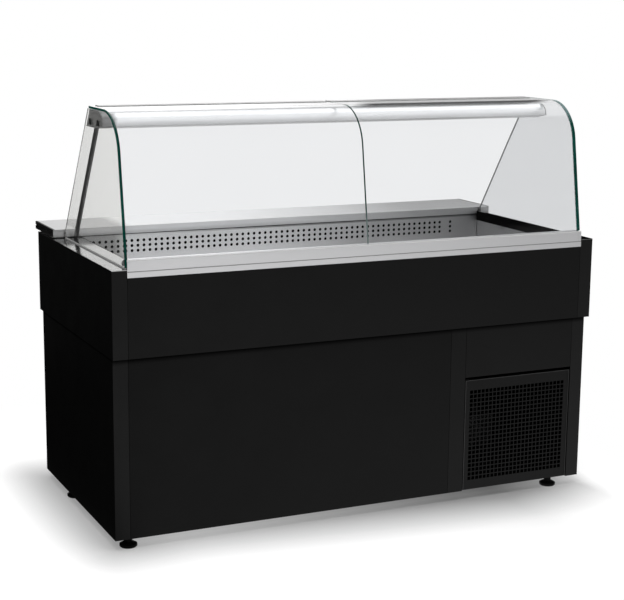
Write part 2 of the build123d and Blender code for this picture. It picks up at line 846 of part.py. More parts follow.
# Thermostat knob with grip flutes, a pointer ridge and its shaft
with BuildPart() as knob:
    knob_back = case_back + 2.6
    with BuildSketch(Plane.XZ.offset(-knob_back)):
        with Locations((knob_x, control_z)):
            Circle(21.0)
    extrude(amount=-4.0)
    with BuildSketch(Plane.XZ.offset(-knob_back - 4.0)):
        with Locations((knob_x, control_z)):
            Circle(17.0)
            with PolarLocations(18.0, 18):
                Circle(1.6, mode=Mode.SUBTRACT)
    extrude(amount=-13.0)
    chamfer(knob.faces().sort_by(Axis.Y)[-1].edges(), length=0.8)
    with BuildSketch(Plane.XZ.offset(-knob_back - 17.0)):
        with Locations((knob_x, control_z + 8.0)):
            Rectangle(2.4, 12.0)
    extrude(amount=-1.0)
    with BuildSketch(Plane.XZ.offset(-knob_back)):
        with Locations((knob_x, control_z)):
            Circle(knob_shaft)
    extrude(amount=knob_back - box_face + 10.0)
save(knob, "thermostat_knob")


# Rocker switches, tilted to off about their pins
def rocker(label, x):
    pivot = (x - 9.0, switch_y - 2.0, control_z)
    level = (0, cos(switch_tilt), -sin(switch_tilt))
    with BuildPart() as key:
        with BuildSketch(Plane(origin=pivot, x_dir=level, z_dir=(1, 0, 0))):
            with BuildLine():
                Polyline((-4.0, -6.0), (1.5, -13.0), (8.0, -12.5), (6.5, 0.0), (8.0, 12.5))
                Polyline((8.0, 12.5), (1.5, 13.0), (-4.0, 6.0), (-4.0, -6.0))
            make_face()
        extrude(amount=18.0)
        with BuildSketch(Plane.YZ.offset(x - 12.5)):
            with Locations((switch_y - 2.0, control_z)):
                Circle(1.5)
        extrude(amount=25.0)
    save(key, label)


rocker("power_switch", switch_x[0])
rocker("lamp_switch", switch_x[1])

# Gland for the mains lead, with its nut inside the panel
with BuildPart() as gland:
    with BuildSketch(Plane.XY.offset(gland_z)):
        with BuildLine():
            outline = (
                (5.5, -10.0), (8.0, -10.0), (8.0, -7.0), (12.5, -7.0), (12.5, -2.0), (8.0, -2.0), (8.0, 0.0),
                (13.0, 0.0), (13.0, 7.0), (10.0, 10.0), (8.5, 22.0), (5.5, 22.0), (5.5, -10.0),
            )
            Polyline(*[(gland_x + out, lower_back + along) for out, along in outline])
        make_face()
    revolve(axis=Axis((gland_x, 0, gland_z), (0, 1, 0)))
save(gland, "mains_gland")


# Levelling feet: a pad, a hexagon and a stud that screws into the base board
def foot(label, x, y):
    with BuildPart() as level:
        with BuildSketch(Plane.XZ.offset(-y)):
            with BuildLine():
                Polyline((x, 0), (x + 23, 0), (x + 26, 3), (x + 26, 9), (x + 17, 14), (x, 14), (x, 0))
            make_face()
        revolve(axis=Axis((x, y, 0), (0, 0, 1)))
        with BuildSketch(Plane.XY.offset(14.0)):
            with Locations((x, y)):
                RegularPolygon(12.5, 6)
        extrude(amount=foot_height - 14.5)
        with BuildSketch(Plane.XY.offset(foot_height - 0.5)):
            with Locations((x, y)):
                Circle(stud_radius)
        extrude(amount=16.0)
    save(level, label)


for label, (x, y) in foot_places.items():
    foot(label, x, y)
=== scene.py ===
import math

import bmesh
import bpy
from mathutils import Matrix, Vector


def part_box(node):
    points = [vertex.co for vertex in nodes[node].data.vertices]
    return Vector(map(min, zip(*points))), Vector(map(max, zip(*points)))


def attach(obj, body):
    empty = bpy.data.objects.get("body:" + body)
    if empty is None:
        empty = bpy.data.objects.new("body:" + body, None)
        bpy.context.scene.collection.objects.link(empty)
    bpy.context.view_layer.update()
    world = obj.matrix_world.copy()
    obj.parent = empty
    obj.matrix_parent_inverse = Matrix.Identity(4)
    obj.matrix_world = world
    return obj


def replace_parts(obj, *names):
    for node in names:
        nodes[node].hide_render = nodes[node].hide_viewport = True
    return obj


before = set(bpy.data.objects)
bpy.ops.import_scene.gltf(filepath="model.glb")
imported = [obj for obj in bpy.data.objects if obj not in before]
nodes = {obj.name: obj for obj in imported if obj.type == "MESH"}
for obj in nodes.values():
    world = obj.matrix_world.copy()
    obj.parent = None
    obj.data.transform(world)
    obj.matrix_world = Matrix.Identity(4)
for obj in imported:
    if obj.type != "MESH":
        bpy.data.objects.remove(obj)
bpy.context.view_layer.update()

# Hot food table, in metres. The front faces -Y, the length runs along X and the floor is Z = 0.

# Camera that took the photograph
camera_place = (-2.01561, -4.34097, 1.55474)
camera_yaw = math.radians(24.9719)
camera_pitch = math.radians(11.2202)
camera_roll = math.radians(0.5585)
camera_lens = 86.436
camera_sensor = 36.0

# Gap that keeps a laid-on piece off the face below it
hair = 0.0001

# Lower case and the step where the upper case overhangs it
base_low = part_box("lower_end_left")[0]
base_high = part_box("lower_end_right")[1]
base_half = base_high.x
base_middle = (base_low.y + base_high.y) / 2
base_depth = base_high.y - base_low.y
step_height = base_high.z

# Worktop, its end caps and their steel corners, the air panel below and the rim of the well
worktop_low, worktop_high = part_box("worktop")
cap_low, cap_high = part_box("worktop_caps")
panel_low, panel_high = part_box("air_panel")
rim_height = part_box("well_left_end")[1].z
corner_rise = 0.0008
corner_inset = 0.0007

# Panes. The rear edge of a side pane slopes from the knee up to the crown
pane_low, pane_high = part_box("side_glass_right")
pane_end = pane_high.x
pane_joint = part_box("front_glass_right")[0].x
side_pane_knee = (pane_high.y, worktop_high.z)
side_pane_crown = (-0.073, pane_high.z)

# Canopy and the hinge leaf of the right front pane
canopy_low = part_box("canopy")[0]
leaf_low, leaf_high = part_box("hinge_leaf_right")
flange_front = -0.124
flange_foot = 1.2541
flange_thickness = 0.0015

# Front rail: ledge below its face, a bead that also paints the ledge's shadow line, end hems and end plates
rail_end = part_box("front_rail")[1].x
rail_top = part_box("front_rail")[1].z
rail_ledge = 0.8155
rail_face = -0.4184
bead_thickness = 0.0013
bead_height = 0.0022
hem_thickness = 0.0009
hem_width = 0.009
hem_foot = rail_ledge + 0.0028
hem_top = rail_top - 0.0055
plate_face = 0.7483
plate_thickness = 0.0012
plate_outline = (
    (-0.4138, 0.8285), (-0.4138, 0.8482), (-0.3906, 0.8482), (-0.3680, 0.8369), (-0.3680, 0.8285),
)

# Clamp pads of the side panes: middles along Y, half widths at foot and tip
clamp_middles = (-0.098, -0.174)
clamp_half_foot = 0.0105
clamp_half_tip = 0.0025
clamp_foot = 1.2015
clamp_tip = 1.2195
clamp_thickness = 0.003

# Gasket of the right pane, and the studs of the side panes as steps of place along Y and radius
gasket_front = -0.362
gasket_back = worktop_low.y - 0.0006
gasket_width = 0.0052
gasket_height = 0.0110
stud_height = 0.8390
stud_sides = 14
stud_steps = ((0.1982, 0.0024), (0.2020, 0.0024), (0.2026, 0.0042), (0.2052, 0.0042), (0.2058, 0.0034))

# Folded top of the air panel
fold_front = panel_low.y + 0.0016
fold_back = panel_high.y - hair
fold_foot = panel_high.z - hair
fold_top = panel_high.z + 0.0013

# Grille sheet and its raised rim
grille_low, grille_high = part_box("bay_grille")
grille_rim_width = 0.0025
grille_rim_rise = 0.0012

# Louvres of the machine bay: slots, then the hood pressed out over each slot
bay_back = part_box("bay_rear_panel")[1].y
louvre_columns = (0.4325, 0.6225)
louvre_rows = 10
louvre_middle = 0.380
louvre_pitch = 0.024
louvre_length = 0.162
hood_drop = 0.0035
hood_reach = 0.0070
hood_rise = 0.0078
hood_inner_reach = 0.84
hood_inner_rise = 0.88

# Control panel: knob with its scale, rockers with a stroke above and a ring below, screws
panel_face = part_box("control_panel")[1].y
knob_low, knob_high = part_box("thermostat_knob")
knob_middle = (knob_low + knob_high) / 2
knob_line_half = 0.0006
knob_line_start = 0.0025
knob_line_end = 0.0135
scale_radius = 0.0245
scale_marks_count = 11
scale_step = 27.0
scale_mark_half = 0.0005
scale_mark_long = 0.0050
scale_mark_short = 0.0030
mark_thickness = 0.0003
switch_middles = [(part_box(name)[0].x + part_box(name)[1].x) / 2 for name in ("power_switch", "lamp_switch")]
stroke_half = 0.0004
stroke_foot = 0.7085
stroke_top = 0.7135
off_ring_height = 0.669
off_ring_outer = 0.0026
off_ring_inner = 0.0019
off_ring_sides = 20
control_screw_radius = 0.0036
control_screws = [(x, panel_face + hair, z) for x in (0.428, 0.692) for z in (0.648, 0.732)]

# Screws of the panel over the machine bay
bay_screw_radius = 0.0048
bay_screws = [(x, bay_back + hair, z) for x in (0.316, 0.739) for z in (0.045, 0.30, 0.55)]

# Socket screw from the face upward: share of the radius, rise in radii, sides
screw_steps = ((1.0, 0.0, 18), (1.0, 0.25, 18), (0.82, 0.5, 18), (0.45, 0.52, 6), (0.42, 0.2, 6))
facing_rear = Matrix.Rotation(-math.pi / 2, 4, "X")

scene = bpy.context.scene
scene.view_settings.view_transform = "Standard"


class Signal:
    """A socket inside a finish. Arithmetic on it adds Math nodes."""

    def __init__(self, finish, socket):
        self.finish = finish
        self.socket = socket

    def maths(self, operation, first, second=0.0):
        return self.finish.add("Math", {"operation": operation}, {0: first, 1: second})

    def __add__(self, other):
        return self.maths("ADD", self, other)

    __radd__ = __add__

    def __sub__(self, other):
        return self.maths("SUBTRACT", self, other)

    def __rsub__(self, other):
        return self.maths("SUBTRACT", other, self)

    def __mul__(self, other):
        return self.maths("MULTIPLY", self, other)

    __rmul__ = __mul__

    def __gt__(self, other):
        return self.maths("GREATER_THAN", self, other)

    def __lt__(self, other):
        return self.maths("LESS_THAN", self, other)

    def __abs__(self):
        return self.maths("ABSOLUTE", self)

    def __or__(self, other):
        return self.maths("MAXIMUM", self, other)


class Finish:
    """The node tree of a material or of the world."""

    def __init__(self, owner):
        self.owner = owner
        owner.use_nodes = True
        self.tree = owner.node_tree
        self.tree.nodes.clear()

    def add(self, kind, settings=None, values=None, output=0):
        node = self.tree.nodes.new("ShaderNode" + kind)
        for name, value in (settings or {}).items():
            setattr(node, name, value)
        for name, value in (values or {}).items():
            if isinstance(value, Signal):
                self.tree.links.new(value.socket, node.inputs[name])
            else:
                node.inputs[name].default_value = value
        return Signal(self, node.outputs[output] if len(node.outputs) else None)

    def place(self, axis):
        where = self.add("TexCoord", output="Object")
        return self.add("SeparateXYZ", values={"Vector": where}, output=axis)

    def facing(self, axis):
        normal = self.add("TexCoord", output="Normal")
        return self.add("SeparateXYZ", values={"Vector": normal}, output=axis)

    def ray(self, fact):
        return self.add("LightPath", output=fact)

    def grain(self, per_metre, detail=3.0, rough=0.6):
        where = self.add("TexCoord", output="Object")
        scaled = self.add("Mapping", values={"Vector": where, "Scale": per_metre})
        noise = {"Vector": scaled, "Scale": 1.0, "Detail": detail, "Roughness": rough}
        return self.add("TexNoise", values=noise)

    def range(self, value, low, high, to_low=0.0, to_high=1.0):
        return self.add("MapRange", values={0: value, 1: low, 2: high, 3: to_low, 4: to_high})

    def spread(self, noise, to_low, to_high, margin=0.3):
        """Spreads the middle of a noise, without a margin at either end, over a range."""
        return self.range(noise, margin, 1.0 - margin, to_low, to_high)

    def blend(self, factor, first, second):
        return self.add("Mix", {"data_type": "RGBA"}, {0: factor, 6: first, 7: second}, 2)

    def bump(self, height, strength, distance):
        return self.add("Bump", values={"Height": height, "Strength": strength, "Distance": distance})

    def surface(self, values):
        return self.add("BsdfPrincipled", values=values)

    def mixed(self, factor, first, second):
        return self.add("MixShader", values={0: factor, 1: first, 2: second})

    def close(self, shader, kind="Material"):
        self.add("Output" + kind, values={"Surface": shader})
        return self.owner


def new_finish(name):
    return Finish(bpy.data.materials.new(name))


def grey(level):
    return (level, level, level, 1.0)


# Black laminate of the case boards, dull on their end faces and where the upper case overhangs the lower one:
# painted shade on the end faces and a painted shadow below the step
def black_laminate(name, sheen, low, high):
    finish = new_finish(name)
    mottle = finish.grain((9.0, 9.0, 9.0))
    stipple = finish.grain((900.0, 900.0, 900.0), detail=2.0)
    scuff = finish.range(finish.grain((35.0, 35.0, 260.0)), 0.62, 0.78)
    rough = finish.spread(mottle, 0.36, 0.46) + scuff * 0.05 + stipple * 0.05
    board = finish.surface({
        "Base Color": finish.blend(mottle, grey(low), grey(high)),
        "Roughness": rough,
        "Specular IOR Level": sheen,
        "Normal": finish.bump(stipple, 0.12, 0.0002),
    })
    # Duller, darker copy of the board that paints the shade
    painted_shade = finish.surface({
        "Base Color": finish.blend(mottle, grey(0.0008), grey(0.0014)),
        "Roughness": rough + 0.4,
        "Specular IOR Level": 0.0,
    })
    # Painted shadow in a band just below the step, painted shade on the end faces
    height = finish.place("Z")
    step_shadow_ramp = finish.range(height, step_height - 0.021, step_height - 0.004)
    painted_step_shadow = step_shadow_ramp * (height < step_height - hair)
    end_face = abs(finish.facing("X")) > 0.7
    return finish.close(finish.mixed(painted_step_shadow | end_face * 0.55, board, painted_shade))


along_x = (3.0, 700.0, 700.0)
along_y = (700.0, 3.0, 700.0)
steel_low = (0.61, 0.61, 0.62, 1.0)
steel_high = (0.73, 0.73, 0.74, 1.0)


def brushing(finish, streaks):
    """Streaks that run along one axis, wide clouds, and a mix of both."""
    brush = finish.grain(streaks, detail=4.0, rough=0.7)
    cloud = finish.grain((5.0, 5.0, 5.0), detail=2.0)
    return brush, cloud, brush * 0.7 + cloud * 0.3


def brushed_roughness(finish, brush, cloud, low, high):
    return finish.spread(brush, low, high) + cloud * 0.06


def brushed_metal(finish, brush, colour, rough, metallic=1.0):
    return finish.surface({
        "Base Color": colour,
        "Metallic": metallic,
        "Roughness": rough,
        "Normal": finish.bump(brush, 0.06, 0.0001),
    })


# Plain brushed sheet
def brushed_steel(name, streaks, low, high, rough_low, rough_high):
    finish = new_finish(name)
    brush, cloud, marks = brushing(finish, streaks)
    colour = finish.blend(marks, low, high)
    rough = brushed_roughness(finish, brush, cloud, rough_low, rough_high)
    return finish.close(brushed_metal(finish, brush, colour, rough))


# Front rail: brushed, with a painted highlight: a pale, rough, less metallic line along its upper fold
def rail_sheet(name):
    finish = new_finish(name)
    brush, cloud, marks = brushing(finish, along_x)
    height = finish.place("Z")
    # Painted highlight on the upper fold
    fold = (height > rail_top - 0.0035) * (height < rail_top - hair)
    colour = finish.blend(fold, finish.blend(marks, steel_low, steel_high), grey(0.66))
    rough = brushed_roughness(finish, brush, cloud, 0.28, 0.4) + fold * 0.2
    return finish.close(brushed_metal(finish, brush, colour, rough, 1.0 - fold * 0.9))


# Sheet of the canopy: bright, with painted shade that makes it duller toward its left end and in a band above
# its foot
def hood_sheet(name):
    finish = new_finish(name)
    brush, cloud, marks = brushing(finish, along_x)
    from_left = finish.place("X") - canopy_low.x
    toward_end = finish.range(from_left, 0.042, 0.028)
    above_foot = finish.place("Z") - canopy_low.z
    band_foot = finish.range(above_foot, 0.003, 0.009, 0.0, 0.44)
    band_top = finish.range(above_foot, 0.012, 0.028, 1.0, 0.0)
    bright = finish.blend(marks, grey(0.90), grey(0.95))
    painted_shade = finish.blend(brush, grey(0.28), grey(0.34))
    colour = finish.blend(toward_end | band_foot * band_top, bright, painted_shade)
    rough = brushed_roughness(finish, brush, cloud, 0.34, 0.42)
    return finish.close(brushed_metal(finish, brush, colour, rough))


# Worktop: painted shade that makes it duller toward its ends and darkens a line at its rear edge; its front
# face eased to the left and given painted shade at the foot and to the right
def worktop_sheet(name):
    finish = new_finish(name)
    brush, cloud, marks = brushing(finish, along_x)
    across = finish.place("X")
    along = finish.place("Y")
    front_face = along < worktop_low.y + 0.0004
    left_painted_shade = finish.range(across, -0.53, -0.575) * (1.0 - front_face * 0.5)
    painted_shade_mask = left_painted_shade | finish.range(across, 0.25, 0.50, 0.0, 0.5)
    pale = finish.blend(marks, grey(0.78), grey(0.88))
    painted_shade = finish.blend(marks, grey(0.45), grey(0.54))
    rear_edge = finish.range(along, worktop_high.y - 0.008, worktop_high.y - 0.005, 0.0, 0.25)
    rise = finish.range(finish.place("Z"), cap_low.z, cap_high.z)
    foot_shade = finish.range(rise, 0.0, 0.6, 0.4, 0.0)
    right_shade = finish.range(across, 0.0, 0.25, 0.0, 0.3)
    # Painted shade on the rear edge and on the front face's foot and right side
    shade = rear_edge | (foot_shade | right_shade) * front_face
    eased = finish.range(across, -0.35, 0.15, 1.0, 0.0) * front_face
    profile = brush * 0.000006 - rise * rise * eased * 0.0050
    shader = finish.surface({
        "Base Color": finish.blend(shade, finish.blend(painted_shade_mask, pale, painted_shade), grey(0.30)),
        "Metallic": 1.0,
        "Roughness": brushed_roughness(finish, brush, cloud, 0.36, 0.46),
        "Normal": finish.bump(profile, 1.0, 1.0),
    })
    return finish.close(shader)


# Perforated air panel with painted light and shade: pale to the left, darker to the right and at its left
# end, and a painted shadow just below the worktop
def air_sheet(name):
    finish = new_finish(name)
    brush, cloud, marks = brushing(finish, along_x)
    across = finish.place("X")
    painted_shade_mask = finish.range(across, -0.12, 0.34) | finish.range(across, -0.55, -0.59)
    pale = finish.blend(marks, grey(0.86), grey(0.94))
    painted_shade = finish.blend(marks, grey(0.44), grey(0.54))
    near_top = finish.range(finish.place("Z"), panel_high.z - 0.0043, panel_high.z - 0.0025)
    shadow_below_worktop = near_top * finish.range(across, -0.42, -0.05, 0.1, 0.65)
    colour = finish.blend(shadow_below_worktop, finish.blend(painted_shade_mask, pale, painted_shade), grey(0.10))
    rough = brushed_roughness(finish, brush, cloud, 0.36, 0.5)
    return finish.close(brushed_metal(finish, brush, colour, rough))


# End wall of the well, with its own rim
def end_wall(name, rim_of):
    finish = new_finish(name)
    brush, _, marks = brushing(finish, along_y)
    colour = finish.blend(marks, grey(0.48), grey(0.56))
    wall = brushed_metal(finish, brush, colour, finish.spread(brush, 0.1, 0.2))
    on_rim = finish.place("Z") > rim_height - 0.0008
    return finish.close(finish.mixed(on_rim, wall, rim_of(finish, brush)))


def steel_rim(finish, brush):
    colour = finish.blend(brush, grey(0.18), grey(0.26))
    return brushed_metal(finish, brush, colour, finish.spread(brush, 0.08, 0.18))


def black_rim(finish, brush):
    return finish.surface({
        "Base Color": finish.blend(brush, grey(0.0020), grey(0.0045)),
        "Roughness": finish.spread(brush, 0.5, 0.65),
        "Specular IOR Level": 0.0,
    })


# Glass panes: clear faces and ground edges, and no shadow from the lamps beyond their tint
def pane_glass(name, tint, index, edge_of=None, rear_of=None, rear_level=0.0, rear_cover=1.0):
    finish = new_finish(name)
    smear = finish.grain((7.0, 7.0, 7.0))
    smeared = tuple(0.985 * level for level in tint[:3]) + (1.0,)
    pane = finish.surface({
        "Base Color": finish.blend(smear, tint, smeared),
        "Roughness": 0.0,
        "IOR": index,
        "Transmission Weight": 1.0,
    })
    if edge_of:
        depth = finish.spread(finish.grain((18.0, 18.0, 9.0)), 0.0, 1.0)
        colour = ground_green(finish, depth)
        cover = edge_of(finish)
        if rear_of:
            rear = rear_of(finish)
            colour = finish.blend(rear, colour, grey(rear_level))
            cover = cover * (1.0 - rear * (1.0 - rear_cover))
        edge = finish.surface({
            "Base Color": colour,
            "Roughness": finish.range(depth, 0.0, 1.0, 0.12, 0.22),
            "Specular IOR Level": 0.03,
        })
        pane = finish.mixed(cover, pane, edge)
    open_to_lamps = finish.add("BsdfTransparent", values={"Color": tint})
    return finish.close(finish.mixed(finish.ray("Is Shadow Ray"), pane, open_to_lamps))


def ground_green(finish, depth):
    """Deep green, with painted highlights that make it paler at the crown of the right end and at the foot of
    the middle joint.
    """
    green = finish.blend(depth, (0.0015, 0.040, 0.028, 1.0), (0.005, 0.085, 0.064, 1.0))
    across = finish.place("X")
    height = finish.place("Z")
    crown_highlight = finish.range(height, 1.185, 1.225) * (across > 0.5)
    green = finish.blend(crown_highlight, green, (0.15, 0.24, 0.24, 1.0))
    joint_foot_highlight = finish.range(height, 0.955, 0.915) * (abs(across) < 0.1)
    return finish.blend(joint_foot_highlight, green, (0.28, 0.36, 0.34, 1.0))


def front_pane_edge(finish):
    across = finish.place("X")
    ends = (abs(across) > pane_end - 0.0004) | (abs(across) < pane_joint + 0.0004)
    # Partial green over the face near each end: a painted glow of the ground edge
    near_left_end = finish.range(across, 0.0045 - pane_end, 0.0015 - pane_end, 0.0, 0.6)
    near_right_end = finish.range(across, pane_end - 0.012, pane_end - 0.009, 0.0, 0.8)
    return ends | near_left_end | near_right_end


def side_pane_edge(finish):
    return (abs(finish.facing("X")) < 0.6) * (finish.place("Z") > pane_low.z + 0.0005)


def side_pane_rear_edge(finish):
    along = finish.place("Y") - side_pane_knee[0]
    rise = side_pane_crown[1] - side_pane_knee[1]
    run = side_pane_knee[0] - side_pane_crown[0]
    sloped = along * (rise / run) + (finish.place("Z") - side_pane_knee[1]) > -0.0005
    return sloped | (along > -0.0003)


# Moulded plastic and painted small pieces: a soft cloud and a fine sparkle
def moulded(name, level, rough, sheen):
    finish = new_finish(name)
    spark = finish.grain((1500.0, 1500.0, 1500.0), detail=2.0)
    cloud = finish.grain((40.0, 40.0, 40.0))
    shader = finish.surface({
        "Base Color": finish.blend(cloud, grey(level * 0.8), grey(level * 1.3)),
        "Roughness": finish.spread(spark, rough - 0.06, rough + 0.08, margin=0.2),
        "Specular IOR Level": sheen,
        "Normal": finish.bump(spark, 0.2, 0.0001),
    })
    return finish.close(shader)


# Rubber seals: black, pale grey under the left pane
def rubber(name):
    finish = new_finish(name)
    cloud = finish.grain((60.0, 60.0, 60.0))
    spark = finish.grain((1200.0, 1200.0, 1200.0), detail=2.0)
    under_pane = (finish.place("Z") > rim_height + hair) * (finish.place("X") < 0.0)
    black = finish.blend(cloud, grey(0.0007), grey(0.0014))
    pale_grey = finish.blend(cloud, grey(0.40), grey(0.50))
    shader = finish.surface({
        "Base Color": finish.blend(under_pane, black, pale_grey),
        "Roughness": finish.spread(spark, 0.54, 0.68, margin=0.2),
        "Specular IOR Level": 0.0,
        "Normal": finish.bump(spark, 0.2, 0.0001),
    })
    return finish.close(shader)


# Galvanised box of the power unit, kept dark as painted shade inside the machine bay
def galvanised(name):
    finish = new_finish(name)
    where = finish.add("TexCoord", output="Object")
    spangle = finish.add("TexVoronoi", values={"Vector": where, "Scale": 90.0}, output="Color")
    tone = finish.add("SeparateColor", values={"Color": spangle})
    shader = finish.surface({
        "Base Color": finish.blend(tone, grey(0.05), grey(0.09)),
        "Metallic": 1.0,
        "Roughness": finish.range(tone, 0.0, 1.0, 0.35, 0.5),
    })
    return finish.close(shader)


# Fibre, heater sheath and quartz tube
def mineral(name, low, high, metallic, rough):
    finish = new_finish(name)
    fibre = finish.grain((220.0, 60.0, 220.0))
    shader = finish.surface({
        "Base Color": finish.blend(fibre, low, high),
        "Metallic": metallic,
        "Roughness": finish.spread(fibre, rough - 0.08, rough + 0.08, margin=0.2),
        "Normal": finish.bump(fibre, 0.3, 0.0003),
    })
    return finish.close(shader)


# Copies of one laminate: the lower front panel's is a darker painted shade, the end boards' a glossier
# painted sheen
laminate = black_laminate("black_laminate", 0.13, 0.0025, 0.0042)
lower_laminate = black_laminate("black_lower_laminate", 0.105, 0.0022, 0.0038)
end_laminate = black_laminate("black_end_laminate", 0.17, 0.0025, 0.0042)
powder_coat = black_laminate("black_powder_coat", 0.13, 0.0022, 0.0040)
# Lighter, glossier black of the grille's raised edge: a painted highlight
highlight_edge = black_laminate("black_edge_painted_highlight", 0.5, 0.006, 0.009)
steel_x = brushed_steel("brushed_steel_along", along_x, steel_low, steel_high, 0.28, 0.4)
# Steel of the well, paler than the other steel: painted light inside the well
well_steel = brushed_steel("well_steel", along_x, grey(0.88), grey(0.94), 0.36, 0.5)
zinc_screw = brushed_steel("zinc_screw", along_x, grey(0.50), grey(0.60), 0.25, 0.35)
satin_aluminium = brushed_steel("satin_aluminium", along_x, grey(0.80), grey(0.88), 0.22, 0.3)
hinge_aluminium = brushed_steel("hinge_aluminium", along_x, grey(0.86), grey(0.93), 0.42, 0.55)
# Aluminium darker than the rest: painted shade on the cable post, also used for the pane studs
dark_aluminium = brushed_steel("dark_aluminium", along_y, grey(0.13), grey(0.19), 0.34, 0.44)
hood_aluminium = hood_sheet("hood_aluminium")
rail_steel = rail_sheet("rail_steel")
worktop_steel = worktop_sheet("worktop_steel")
air_steel = air_sheet("air_panel_steel")
left_end_steel = end_wall("left_end_steel", steel_rim)
right_end_steel = end_wall("right_end_steel", black_rim)
# The panes are one glass; their different tints are painted light and shade, the right side pane greyer and
# the left paler than the front ones
front_glass = pane_glass(
    "front_pane_glass", (0.905, 0.913, 0.925, 1.0), 1.45, edge_of=front_pane_edge,
)
left_glass = pane_glass(
    "left_pane_glass", (0.995, 0.997, 0.982, 1.0), 1.29, edge_of=side_pane_edge,
    rear_of=side_pane_rear_edge, rear_level=0.30, rear_cover=0.6,
)
right_glass = pane_glass(
    "right_pane_glass", (0.800, 0.805, 0.810, 1.0), 1.08, edge_of=side_pane_edge,
    rear_of=side_pane_rear_edge, rear_level=0.20, rear_cover=0.85,
)
lamp_glass = pane_glass("lamp_cover_glass", grey(0.95), 1.45)
seal_rubber = rubber("seal_rubber")
black_plastic = moulded("black_plastic", 0.007, 0.42, 0.3)
cap_black = moulded("cap_black", 0.004, 0.5, 0.1)
foot_black = moulded("foot_black", 0.0022, 0.55, 0.05)
# Near-black rear wall of the well behind the perforated panel: painted shade that darkens the holes
duct_shade = moulded("duct_shade", 0.004, 0.7, 0.1)
end_plate_grey = moulded("end_plate_grey", 0.24, 0.45, 0.2)
shadow_line_grey = moulded("shadow_line_grey", 0.26, 0.5, 0.2)
flange_grey = moulded("flange_grey", 0.50, 0.5, 0.2)
zinc = galvanised("zinc_box")
glass_wool = mineral("glass_wool", (0.55, 0.48, 0.28, 1.0), (0.72, 0.66, 0.45, 1.0), 0.0, 0.85)
heater_sheath = mineral("heater_sheath", grey(0.10), grey(0.17), 1.0, 0.45)
quartz = mineral("quartz_tube", (0.55, 0.22, 0.14, 1.0), (0.78, 0.42, 0.30, 1.0), 0.0, 0.2)

nodes_of_finish = {
    laminate: (
        "base_tray", "upper_front_panel", "bay_front_panel", "partition", "upper_rear_panel",
        "door_left", "door_right",
    ),
    lower_laminate: ("lower_front_panel",),
    end_laminate: ("lower_end_left", "lower_end_right", "upper_end_left", "upper_end_right"),
    powder_coat: ("bay_grille", "bay_rear_panel"),
    foot_black: ("foot_front_left", "foot_front_right", "foot_rear_left", "foot_rear_right"),
    steel_x: ("control_panel",),
    rail_steel: ("front_rail",),
    well_steel: (
        "deck_left", "deck_middle", "deck_right", "deck_support", "fan_plate",
        "well_floor", "well_front_wall", "well_tray",
    ),
    air_steel: ("air_panel",),
    left_end_steel: ("well_left_end",),
    right_end_steel: ("well_right_end",),
    worktop_steel: ("worktop",),
    hood_aluminium: ("canopy",),
    end_plate_grey: ("canopy_ends",),
    hinge_aluminium: ("hinge_leaf_left", "hinge_leaf_right", "hinge_rod"),
    satin_aluminium: ("door_knob_left", "door_knob_right"),
    dark_aluminium: ("cable_post",),
    front_glass: ("front_glass_left", "front_glass_right"),
    left_glass: ("side_glass_left",),
    right_glass: ("side_glass_right",),
    lamp_glass: ("lamp_cover",),
    seal_rubber: ("edge_seals",),
    cap_black: ("worktop_caps",),
    black_plastic: (
        "glass_clamps", "thermostat_knob", "power_switch", "lamp_switch",
        "control_box", "mains_gland", "impeller_left", "impeller_right",
    ),
    duct_shade: ("well_rear_wall",),
    zinc: ("power_unit",),
    glass_wool: ("insulation",),
    quartz: ("heat_lamps",),
    heater_sheath: ("heaters",),
}
for material, names in nodes_of_finish.items():
    for name in names:
        nodes[name].data.materials.clear()
        nodes[name].data.materials.append(material)


def linked_object(name, mesh, material):
    data = bpy.data.meshes.new(name)
    mesh.to_mesh(data)
    mesh.free()
    data.materials.append(material)
    made = bpy.data.objects.new(name, data)
    scene.collection.objects.link(made)
    return made


def finished_piece(name, mesh, body, material):
    bmesh.ops.recalc_face_normals(mesh, faces=mesh.faces)
    made = linked_object(name, mesh, material)
    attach(made, body)
    return made


def thicken(mesh, outline, step):
    """Adds a solid: the outline as a face, drawn out by the step."""
    face = mesh.faces.new([mesh.verts.new(corner) for corner in outline])
    grown = bmesh.ops.extrude_face_region(mesh, geom=[face])["geom"]
    moved = [part for part in grown if isinstance(part, bmesh.types.BMVert)]
    bmesh.ops.translate(mesh, verts=moved, vec=step)
    return list(face.verts) + moved


def bar(mesh, low, high):
    """Adds a block between two corners."""
    left, front, foot = low
    right, back, top = high
    outline = ((left, front, foot), (right, front, foot), (right, front, top), (left, front, top))
    return thicken(mesh, outline, (0.0, back - front, 0.0))


def end_bar(mesh, side, ends, low, high):
    """Adds a block at the left (-1) or right (1) end, from one distance to another from the middle."""
    left, right = sorted((side * ends[0], side * ends[1]))
    return bar(mesh, (left, low[0], low[1]), (right, high[0], high[1]))


def round_edges(mesh, radius, steps, longer_than=0.0):
    edges = [edge for edge in mesh.edges if edge.calc_length() > longer_than]
    bmesh.ops.bevel(
        mesh, geom=edges, offset=radius, offset_type="OFFSET", segments=steps,
        profile=0.5, affect="EDGES", material=-1,
    )


def ring(mesh, sides, radius, level):
    made = bmesh.ops.create_circle(mesh, segments=sides, radius=radius, matrix=level)
    return list({edge for vert in made["verts"] for edge in vert.link_edges})


def loft(mesh, rings):
    """Joins rings one to the next and closes the first and the last."""
    for first_ring, second_ring in zip(rings, rings[1:]):
        bmesh.ops.bridge_loops(mesh, edges=first_ring + second_ring)
    bmesh.ops.edgeloop_fill(mesh, edges=rings[0])
    bmesh.ops.edgeloop_fill(mesh, edges=rings[-1])


